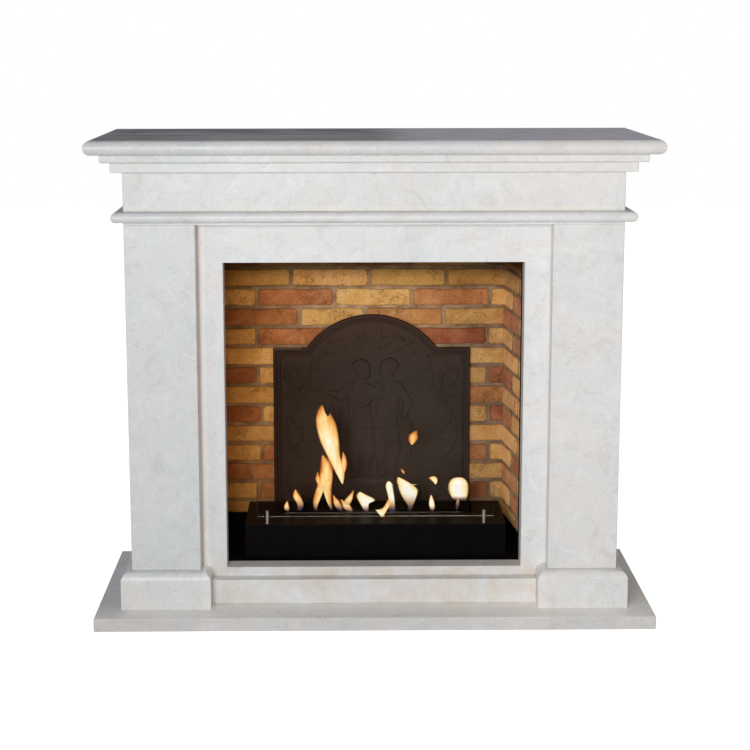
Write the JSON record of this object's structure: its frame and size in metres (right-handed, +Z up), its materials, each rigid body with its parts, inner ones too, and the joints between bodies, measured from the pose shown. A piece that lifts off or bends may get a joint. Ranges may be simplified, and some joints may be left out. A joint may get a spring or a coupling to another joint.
{
  "type": "bioethanol fireplace",
  "caption": "Free-standing stone mantel fireplace with a brick-lined firebox, arched cast-iron fireback and a slot burner for bioethanol behind a low glass pane",
  "frame": {"origin": "middle of the footprint on the floor", "axes": "+X to the right seen from the front, -Y to the front, +Z up"},
  "size_m": [1.238, 0.49, 1.074],
  "materials": {
    "stone": "honed pale limestone with fine pits and beige clouding",
    "timber": "planed softwood",
    "aerated_concrete": "raw aerated concrete",
    "black_steel": "matt black heat-proof paint",
    "mortar": "rough grey-brown mortar",
    "brick": "tumbled ochre and red-brown brick slips",
    "cast_iron": "black-brown cast iron",
    "zinc_steel": "zinc plated",
    "burner_black": "matt black powder coat",
    "stainless": "brushed stainless steel",
    "ceramic_wool": "white ceramic fibre",
    "clear_glass": "clear toughened glass"
  },
  "bodies": {
    "mantel": {"hearth_slab": "stone", "plinth_left": "stone", "plinth_right": "stone", "plinth_return_left": "stone", "plinth_return_right": "stone", "pilaster_left": "stone", "pilaster_right": "stone", "side_panel_left": "stone", "side_panel_right": "stone", "base_rail": "stone", "frame_sill": "stone", "frame_stile_left": "stone", "frame_stile_right": "stone", "frame_lintel": "stone", "bead_course": "stone", "frieze_front": "stone", "frieze_return_left": "stone", "frieze_return_right": "stone", "cornice_lower": "stone", "cornice_upper": "stone", "mantel_shelf": "stone", "back_rail": "timber", "bearer_left": "aerated_concrete", "bearer_right": "aerated_concrete", "casing_floor": "black_steel", "casing_back": "black_steel", "casing_left": "black_steel", "casing_right": "black_steel", "casing_top": "black_steel", "flange_left": "black_steel", "flange_right": "black_steel", "flange_top": "black_steel", "skirting": "black_steel", "board_back": "mortar", "board_left": "mortar", "board_right": "mortar", "brick_slips_back": "brick", "brick_slips_left": "brick", "brick_slips_right": "brick", "fireback": "cast_iron", "fireback_studs": "zinc_steel", "stud_nuts": "zinc_steel"},
    "burner": {"burner_box": "burner_black", "burner_top": "burner_black", "reservoir": "stainless", "absorbent_wool": "ceramic_wool", "damper_rails": "stainless", "glass_posts": "stainless"},
    "damper": {"damper": "burner_black"},
    "glass": {"glass_screen": "clear_glass"}
  },
  "joints": [
    {"name": "burner_pull_out", "type": "slide", "parent": "mantel", "child": "burner", "axis": [0, -1, 0], "range_m": [0, 0.3]},
    {"name": "damper_slide", "type": "slide", "parent": "burner", "child": "damper", "axis": [0, -1, 0], "range_m": [0, 0.042]},
    {"name": "glass_lift", "type": "slide", "parent": "burner", "child": "glass", "axis": [0, 0, 1], "range_m": [0, 0.12]}
  ]
}
